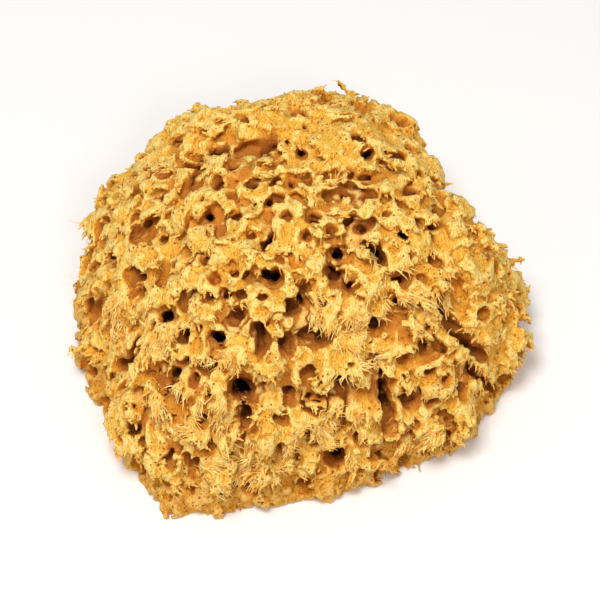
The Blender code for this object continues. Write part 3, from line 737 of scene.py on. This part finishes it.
# Colour by depth below the lumpy skin, in millimetres: gold at the surface, browner and darker down the
# hollows. This is partly the fibre's own deeper tone and partly painted shade in the hollows.
GOLD_TO_SHADED_BROWN = (
    (-3, (0.92, 0.55, 0.095)), (1.5, (0.86, 0.465, 0.06)), (3.0, (0.77, 0.36, 0.038)),
    (4.5, (0.71, 0.295, 0.034)), (8, (0.57, 0.205, 0.028)), (16, (0.38, 0.12, 0.019)),
)
DEPTH_WOBBLE = (3.0, 0.9)
# Faces turned away from the outside, the walls of the hollows, count as deeper and so browner: painted shade
# on those walls.
WALL_SHADE_DEPTH = (-0.2, 0.7, 3.2, 0.0)
# Cream on the crests: partly the fibres' own paler tips, partly a painted highlight, kept to faces turned
# outward.
CREAM = (1.0, 0.71, 0.21, 1)
CREAM_WOBBLE = (1.6, 0.2)
CREAM_CRESTS = (0.12, 0.85)
HIGHLIGHT_OUTWARD = (0.1, 0.8)
STREAK = 0.55
STREAK_DRIFT = (5.0, 1.8)
GRAIN_COLOUR_SIZE = 0.62
DARK_GRAIN = (0.36, 0.5)
DARK_TINT = (0.78, 0.58, 0.36)
SMOOTH_WALLS = (2.0, 5.5, 0.0, 0.5)
PALE_GRAIN = (0.54, 0.62, 0.0, 0.65)
PALE_TINT = (1.14, 1.32, 1.8)
PALEST = (1.0, 0.78, 0.3)
PALE_OUTSIDE = (1.0, 4.0, 1.0, 0.15)
# The pores are tiny holes drawn as brown dots: painted shade inside them.
PORE_SPACING = 1.5
PORE_CLUSTER_SIZE = 6.0
PORE_CLUSTERS = (0.42, 0.56, 0.12, 0.46)
PORE_VARIETY = (0.1, 1.0, 0.2, 1.0)
PORE_EDGE = (0.5, 1.0)
PORE_SHADOW_BROWN = (0.46, 0.155, 0.022, 1)
# The wall under the rim is darkened: painted shade under the overhang.
BASE_WALL = (RIM_TOP - 4, RIM_TOP + 2)
BASE_WALL_SHADE = (0.84, 0.72, 0.6)
THREAD_SIZE = 0.5


def sponge_skin():
    """Dry sponge: golden outside, browner inside partly by painted shade, cream crests partly a painted
    highlight, fine grain, threads, and painted shade in the pores and on the wall under the rim.
    """
    material = bpy.data.materials.new("sponge_skin")
    material.use_nodes = True
    nodes, links = material.node_tree.nodes, material.node_tree.links
    shader = nodes["Principled BSDF"]
    shader.inputs["Roughness"].default_value = 0.9
    shader.inputs["Specular IOR Level"].default_value = 0.15
    shader.inputs["Subsurface Weight"].default_value = 0.35
    shader.inputs["Subsurface Radius"].default_value = (1.0, 0.6, 0.3)
    shader.inputs["Subsurface Scale"].default_value = 0.9 * MM
    paint = Field(material.node_tree)
    place = paint.vector("MULTIPLY", nodes.new("ShaderNodeTexCoord").outputs["Object"], (1 / MM,) * 3)
    depth, crest, outward = (
        paint.node("ShaderNodeAttribute", {"attribute_name": name}, "Fac")
        for name in ("depth", "crest", "outward")
    )

    depth_shift = paint.swing(place, *DEPTH_WOBBLE, detail=2.0)
    # Painted shade: faces turned away from the outside are coloured as if deeper.
    depth_shift = paint.math("ADD", depth_shift, paint.ramp(outward, *WALL_SHADE_DEPTH))
    brown = nodes.new("ShaderNodeValToRGB")
    shallowest, deepest = GOLD_TO_SHADED_BROWN[0][0], GOLD_TO_SHADED_BROWN[-1][0]
    while len(brown.color_ramp.elements) < len(GOLD_TO_SHADED_BROWN):
        brown.color_ramp.elements.new(0.5)
    for element, (at, tone) in zip(brown.color_ramp.elements, GOLD_TO_SHADED_BROWN):
        element.position = (at - shallowest) / (deepest - shallowest)
        element.color = (*tone, 1)
    # The depth picks the colour: partly the fibre's deeper tone, partly painted shade down the hollows.
    how_deep = paint.math("ADD", depth, depth_shift)
    share = paint.node("ShaderNodeMapRange", {}, Value=how_deep, From_Min=shallowest, From_Max=deepest)
    links.new(share, brown.inputs[0])

    # Cream crests: the fibres' paler tips, with a painted highlight kept to faces turned outward.
    cream = paint.ramp(paint.math("ADD", crest, paint.swing(place, *CREAM_WOBBLE)), *CREAM_CRESTS)
    cream = paint.math("MULTIPLY", cream, paint.ramp(outward, *HIGHLIGHT_OUTWARD))
    colour = mix_colours(nodes, links, cream, brown.outputs[0], CREAM)

    streaked = paint.vector("ADD", paint.squeezed(place, STREAK), paint.drift(place, *STREAK_DRIFT))
    grain = paint.noise(streaked, GRAIN_COLOUR_SIZE, detail=3.0)
    plain = paint.math("MAXIMUM", paint.ramp(grain, *DARK_GRAIN), paint.ramp(depth, *SMOOTH_WALLS))
    colour = mix_colours(nodes, links, plain, paint.vector("MULTIPLY", colour, DARK_TINT), colour)
    bright = paint.math("MULTIPLY", paint.ramp(grain, *PALE_GRAIN), paint.ramp(depth, *PALE_OUTSIDE))
    pale = paint.vector("MINIMUM", paint.vector("MULTIPLY", colour, PALE_TINT), PALEST)
    colour = mix_colours(nodes, links, bright, colour, pale)

    # Painted shade: tiny pores drawn as brown dots, with only a slight dip in the bump.
    pores = paint.cells(place, PORE_SPACING)
    clusters = paint.ramp(paint.noise(place, PORE_CLUSTER_SIZE), *PORE_CLUSTERS)
    reach = paint.math("MULTIPLY", clusters, paint.ramp(paint.split(pores["Color"], "X"), *PORE_VARIETY))
    beside_pore = paint.ramp(paint.math("DIVIDE", pores["Distance"], reach), *PORE_EDGE)
    colour = mix_colours(nodes, links, beside_pore, PORE_SHADOW_BROWN, colour)
    # Painted shade: darker on the wall below the rim.
    above_wall = paint.ramp(paint.split(place, "Z"), *BASE_WALL)
    colour = mix_colours(nodes, links, above_wall, paint.vector("MULTIPLY", colour, BASE_WALL_SHADE), colour)
    links.new(colour, shader.inputs["Base Color"])

    bump = nodes.new("ShaderNodeBump")
    bump.inputs["Strength"].default_value = 0.9
    bump.inputs["Distance"].default_value = 0.5 * MM
    threads = paint.math("MULTIPLY", paint.noise(streaked, THREAD_SIZE, detail=3.0), beside_pore)
    links.new(threads, bump.inputs["Height"])
    links.new(bump.outputs["Normal"], shader.inputs["Normal"])
    return material


body = bpy.data.objects.new("sponge_body", bpy.data.meshes.new("sponge_body"))
bpy.context.scene.collection.objects.link(body)
filling = body.modifiers.new("filling", "NODES")
filling.node_group = body_tree()
filling[filling.node_group.interface.items_tree["Voxel"].identifier] = VOXEL
bpy.context.view_layer.update()
filled = body.evaluated_get(bpy.context.evaluated_depsgraph_get()).data
fewer_faces = body.modifiers.new("fewer_faces", "DECIMATE")
fewer_faces.ratio = min(1, BODY_TRIANGLES / len(filled.polygons))
body.modifiers.new("marks", "NODES").node_group = marks_tree(sponge_skin())
body_mesh = bpy.data.meshes.new_from_object(body.evaluated_get(bpy.context.evaluated_depsgraph_get()))
body.modifiers.clear()
body.data = body_mesh
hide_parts("sponge")
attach(body, "root")


# The fibres and shreds: single strands and torn strips of the same skeleton, pulled loose round the pads'
# edges. They stand closest in the frayed places, and are combed one way in each clump.
FRAYED_PLACES = (
    (-38, -18, 19), (-50, 2, 10), (21, 1, 16), (10, -35, 14), (45, -39, 10), (-64, 6, 8), (-52, 58, 7),
    (14, 48, 6), (-20, -52, 13), (30, 14, 9), (58, 50, 9), (48, 8, 8),
)
STRAND_SIDES = 3
STRAND_RINGS = 6
STRAND_FORESHORTENING = 0.3
STRAND_UNEVENNESS = 0.4
STRAND_TAPER = 0.75
STRAND_GIRTHS = (0.8, 1.2)
FIBRE_LENGTH_IN_GIRTHS = 18
SHRED_LENGTH_IN_GIRTHS = 4


def strand_shape(name, bend, twist, slender, flat, seed):
    """One strand of unit length along +Z from the origin, curved to one side by this share of its length, and
    thinning to its tip. Across it the unit is its half thickness, this many times less than its length."""
    dice = random.Random(seed)
    form = bmesh.new()
    rings = []
    for ring in range(STRAND_RINGS):
        share = ring / (STRAND_RINGS - 1)
        sway = bend * slender * share * share
        rise = share * (1 - STRAND_FORESHORTENING * bend * share)
        middle = Vector((sway * math.cos(twist * share), sway * math.sin(twist * share), rise))
        middle += Vector((dice.uniform(-1, 1), dice.uniform(-1, 1), 0)) * STRAND_UNEVENNESS
        thick = (1 - STRAND_TAPER * share ** 1.5) * dice.uniform(*STRAND_GIRTHS)
        corners = []
        for side in range(STRAND_SIDES):
            turn = math.tau * side / STRAND_SIDES + share * twist
            corner = Vector((math.cos(turn) * thick * flat[0], math.sin(turn) * thick * flat[1], 0))
            corners.append(form.verts.new(middle + corner))
        rings.append(corners)
    for below, above in zip(rings, rings[1:]):
        for side in range(STRAND_SIDES):
            following = (side + 1) % STRAND_SIDES
            form.faces.new((below[side], below[following], above[following], above[side]))
    form.faces.new(reversed(rings[0]))
    form.faces.new(rings[-1])
    mesh = bpy.data.meshes.new(name)
    form.to_mesh(mesh)
    form.free()
    shape = bpy.data.objects.new(name, mesh)
    bpy.context.scene.collection.objects.link(shape)
    shape.hide_render = True
    return shape


def random_value(field, low, high, seed):
    """A random number for each point, or a random direction where the limits are directions."""
    made = field.tree.nodes.new("FunctionNodeRandomValue")
    is_vector = isinstance(low, tuple)
    made.data_type = "FLOAT_VECTOR" if is_vector else "FLOAT"
    first = 0 if is_vector else 2
    made.inputs[first].default_value = low
    made.inputs[first + 1].default_value = high
    made.inputs["Seed"].default_value = seed
    return made.outputs[0 if is_vector else 1]


def random_size(field, smallest, largest, seed):
    """A random size for each point between two of the tree's inputs."""
    share = random_value(field, 0.0, 1.0, seed)
    return field.node(
        "ShaderNodeMapRange", {}, Value=share, From_Min=0.0, From_Max=1.0, To_Min=smallest, To_Max=largest
    )


EDGE_CRESTS = (0.0, 0.2)
EDGE_DEPTHS = (1.5, 3.5, 1.0, 0.0)
EDGE_HEIGHTS = (9, 16)
LOWER_EDGES = (-0.1, 0.5)
FRAYED_REACH = (-3.0, 5.0)
CLUMP_SIZE = 8
CLUMPS = (0.49, 0.6)
COMB = (10, 4.0)
LEAST_HEIGHT = 0.2 * MM
STRAND_INPUTS = (
    "Per Square Metre", "Shortest", "Longest", "Thinnest", "Thickest", "Lift", "Loose", "Everywhere",
)


def strand_density(field, inputs, place, normal, lower_edges):
    """How many strands stand on each square metre: only on the body's crests, more in the frayed places."""
    crest = field.node("GeometryNodeInputNamedAttribute", {"data_type": "FLOAT"}, Name="crest")
    depth = field.node("GeometryNodeInputNamedAttribute", {"data_type": "FLOAT"}, Name="depth")
    on_edge = field.math("MULTIPLY", field.ramp(crest, *EDGE_CRESTS), field.ramp(depth, *EDGE_DEPTHS))
    on_edge = field.math("MULTIPLY", on_edge, field.ramp(field.split(place, "Z"), *EDGE_HEIGHTS))
    if lower_edges:
        hanging = field.ramp(field.vector("DOT_PRODUCT", normal, HANG, "Value"), *LOWER_EDGES)
        on_edge = field.math("MULTIPLY", on_edge, hanging)
    frayed = field.ramp(bored_field(field, place, frayed_places), *FRAYED_REACH)
    clumps = field.ramp(field.noise(place, CLUMP_SIZE), *CLUMPS)
    often = field.math("MAXIMUM", inputs["Everywhere"], field.math("MULTIPLY", frayed, clumps))
    return field.math("MULTIPLY", field.math("MULTIPLY", on_edge, often), inputs["Per Square Metre"])


def combed_direction(field, inputs, place, metres, normal, seed):
    """The way a strand points: along the skin, combed one way in each clump, with a little lift and play."""
    smooth = field.node("GeometryNodeObjectInfo", output="Geometry", i0=dome)
    outward = field.node(
        "GeometryNodeSampleNearestSurface",
        {"data_type": "FLOAT_VECTOR"},
        Mesh=smooth,
        Value=normal,
        Sample_Position=metres,
    )
    comb = field.vector("ADD", field.drift(place, *COMB), HANG)
    rise = field.vector("DOT_PRODUCT", comb, outward, "Value")
    flat = field.vector("SUBTRACT", comb, field.scaled(outward, rise))
    flat = field.vector("NORMALIZE", flat, flat)
    lift = field.scaled(outward, inputs["Lift"])
    loose = field.scaled(random_value(field, (-1.0, -1.0, -1.0), (1.0, 1.0, 1.0), seed), inputs["Loose"])
    return field.vector("ADD", field.vector("ADD", flat, lift), loose)


def strands_tree(name, shapes, seed, material, lower_edges):
    """Lays strands of these shapes on the body, each turned, spun and sized at random."""
    tree, field, inputs = new_tree(name, *STRAND_INPUTS)
    metres = field.node("GeometryNodeInputPosition")
    place = field.vector("MULTIPLY", metres, (1 / MM,) * 3)
    normal = field.node("GeometryNodeInputNormal")
    scatter = tree.nodes.new("GeometryNodeDistributePointsOnFaces")
    scatter.inputs["Seed"].default_value = seed
    tree.links.new(field.node("GeometryNodeObjectInfo", output="Geometry", i0=body), scatter.inputs["Mesh"])
    tree.links.new(strand_density(field, inputs, place, normal, lower_edges), scatter.inputs["Density"])

    turned = tree.nodes.new("FunctionNodeAlignRotationToVector")
    turned.axis = "Z"
    tree.links.new(combed_direction(field, inputs, place, metres, normal, seed + 1), turned.inputs["Vector"])
    spun = tree.nodes.new("FunctionNodeRotateRotation")
    spun.rotation_space = "LOCAL"
    tree.links.new(turned.outputs[0], spun.inputs[0])
    spin = field.node("ShaderNodeCombineXYZ", Z=random_value(field, 0.0, math.tau, seed + 2))
    tree.links.new(spin, spun.inputs[1])
    long = random_size(field, inputs["Shortest"], inputs["Longest"], seed + 3)
    wide = random_size(field, inputs["Thinnest"], inputs["Thickest"], seed + 4)
    scale = field.node("ShaderNodeCombineXYZ", X=wide, Y=wide, Z=long)

    joined = tree.nodes.new("GeometryNodeJoinGeometry")
    for shape in reversed(shapes):
        as_instance = field.node("GeometryNodeObjectInfo", {}, "Geometry", i0=shape, As_Instance=True)
        tree.links.new(as_instance, joined.inputs[0])
    stood = tree.nodes.new("GeometryNodeInstanceOnPoints")
    stood.inputs["Pick Instance"].default_value = True
    tree.links.new(scatter.outputs["Points"], stood.inputs["Points"])
    tree.links.new(joined.outputs[0], stood.inputs["Instance"])
    tree.links.new(spun.outputs[0], stood.inputs["Rotation"])
    tree.links.new(scale, stood.inputs["Scale"])

    real = field.node("GeometryNodeRealizeInstances", i0=stood.outputs[0])
    lowest = cad_low + Vector((0, 0, LEAST_HEIGHT))
    held = field.vector("MAXIMUM", field.node("GeometryNodeInputPosition"), lowest)
    held = field.vector("MINIMUM", held, cad_high)
    inside = field.node("GeometryNodeSetPosition", Geometry=real, Position=held)
    finished = field.node("GeometryNodeSetMaterial", Geometry=inside, Material=material)
    tree.links.new(finished, tree.nodes.new("NodeGroupOutput").inputs[0])
    return tree


FIBRE_TONE_SIZE = 2.4
FIBRE_TONES = (0.35, 0.65)


def strand_material(name, pale, deep):
    """Loose fibre, paler in some places and deeper in others."""
    material = bpy.data.materials.new(name)
    material.use_nodes = True
    nodes, links = material.node_tree.nodes, material.node_tree.links
    shader = nodes["Principled BSDF"]
    shader.inputs["Roughness"].default_value = 0.8
    shader.inputs["Specular IOR Level"].default_value = 0.25
    paint = Field(material.node_tree)
    place = paint.vector("MULTIPLY", nodes.new("ShaderNodeTexCoord").outputs["Object"], (1 / MM,) * 3)
    blend = paint.ramp(paint.noise(place, FIBRE_TONE_SIZE, detail=2.0), *FIBRE_TONES)
    colour = mix_colours(nodes, links, blend, deep, pale)
    links.new(colour, shader.inputs["Base Color"])
    return material


def strands(name, shapes, seed, material, lower_edges, sizes):
    """Makes one piece of strands on the body."""
    piece = bpy.data.objects.new(name, bpy.data.meshes.new(name))
    bpy.context.scene.collection.objects.link(piece)
    laying = piece.modifiers.new("laying", "NODES")
    laying.node_group = strands_tree(name, shapes, seed, material, lower_edges)
    for label, size in zip(STRAND_INPUTS, sizes):
        laying[laying.node_group.interface.items_tree[label].identifier] = size
    mesh = bpy.data.meshes.new_from_object(piece.evaluated_get(bpy.context.evaluated_depsgraph_get()))
    piece.modifiers.clear()
    piece.data = mesh
    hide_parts("sponge")
    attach(piece, "root")


frayed_places = picture_places("frayed_places", FRAYED_PLACES)
fibre_shapes = [
    strand_shape("fibre_a", 0.06, 0.4, FIBRE_LENGTH_IN_GIRTHS, (1, 1), 1),
    strand_shape("fibre_b", 0.14, 0.9, FIBRE_LENGTH_IN_GIRTHS, (1, 1), 2),
    strand_shape("fibre_c", 0.25, 1.1, FIBRE_LENGTH_IN_GIRTHS, (1, 1), 3),
    strand_shape("fibre_d", 0.7, -1.6, FIBRE_LENGTH_IN_GIRTHS, (1, 1), 4),
]
shred_shapes = [
    strand_shape("shred_a", 0.12, 0.3, SHRED_LENGTH_IN_GIRTHS, (1, 0.3), 5),
    strand_shape("shred_b", 0.3, 0.6, SHRED_LENGTH_IN_GIRTHS, (1, 0.35), 6),
    strand_shape("shred_c", 0.2, -0.5, SHRED_LENGTH_IN_GIRTHS, (1, 0.25), 7),
]
fibre_cream = strand_material("fibre_cream", (1.0, 0.77, 0.3, 1), (0.9, 0.53, 0.1, 1))
shred_gold = strand_material("shred_gold", (0.97, 0.62, 0.15, 1), (0.82, 0.43, 0.06, 1))
FIBRE_SIZES = (1700000.0, 2.0 * MM, 5.6 * MM, 0.2 * MM, 0.38 * MM, 0.12, 0.07, 0.0015)
SHRED_SIZES = (800000.0, 1.4 * MM, 3.8 * MM, 0.4 * MM, 0.95 * MM, 0.35, 0.5, 0.18)
strands("sponge_fibres", fibre_shapes, 21, fibre_cream, False, FIBRE_SIZES)
strands("sponge_shreds", shred_shapes, 41, shred_gold, True, SHRED_SIZES)

places = (channels, small_channels, calm_places, creviced_places, frayed_places)
for guide in (dome, *places, *fibre_shapes, *shred_shapes):
    bpy.data.objects.remove(guide)

# The studio: a matt white floor, a soft lamp high in front, a weaker one lower on the right, and a warm pale
# surround.
FLOOR_REACH = 4
FLOOR_WHITE = (0.96, 0.96, 0.97, 1)
SURROUND_CREAM = (1, 0.95, 0.87, 1)
SURROUND_STRENGTH = 0.4
floor_mesh = bpy.data.meshes.new("floor")
floor_form = bmesh.new()
bmesh.ops.create_grid(floor_form, x_segments=1, y_segments=1, size=FLOOR_REACH)
floor_form.to_mesh(floor_mesh)
floor_form.free()
floor = bpy.data.objects.new("floor", floor_mesh)
bpy.context.scene.collection.objects.link(floor)
floor_paint = bpy.data.materials.new("pale_floor")
floor_paint.use_nodes = True
floor_shader = floor_paint.node_tree.nodes["Principled BSDF"]
floor_shader.inputs["Base Color"].default_value = FLOOR_WHITE
floor_shader.inputs["Roughness"].default_value = 0.9
floor.data.materials.append(floor_paint)

LAMP_AIM = Vector((0, 0, 0.04))


def soft_light(name, place, size, watts):
    """A round soft lamp aimed at the middle of the sponge."""
    lamp = bpy.data.lights.new(name, "AREA")
    lamp.shape = "DISK"
    lamp.size = size
    lamp.energy = watts
    light = bpy.data.objects.new(name, lamp)
    bpy.context.scene.collection.objects.link(light)
    light.location = place
    light.rotation_euler = (LAMP_AIM - Vector(place)).to_track_quat("-Z", "Y").to_euler()


soft_light("key", (-0.14, -0.32, 1.08), 0.36, 8.4)
soft_light("front", (0.2, -0.75, 0.95), 0.3, 2.2)
world = bpy.data.worlds.new("studio")
world.use_nodes = True
surround = world.node_tree.nodes["Background"]
surround.inputs["Color"].default_value = SURROUND_CREAM
surround.inputs["Strength"].default_value = SURROUND_STRENGTH
bpy.context.scene.world = world
bpy.context.scene.view_settings.view_transform = "Standard"
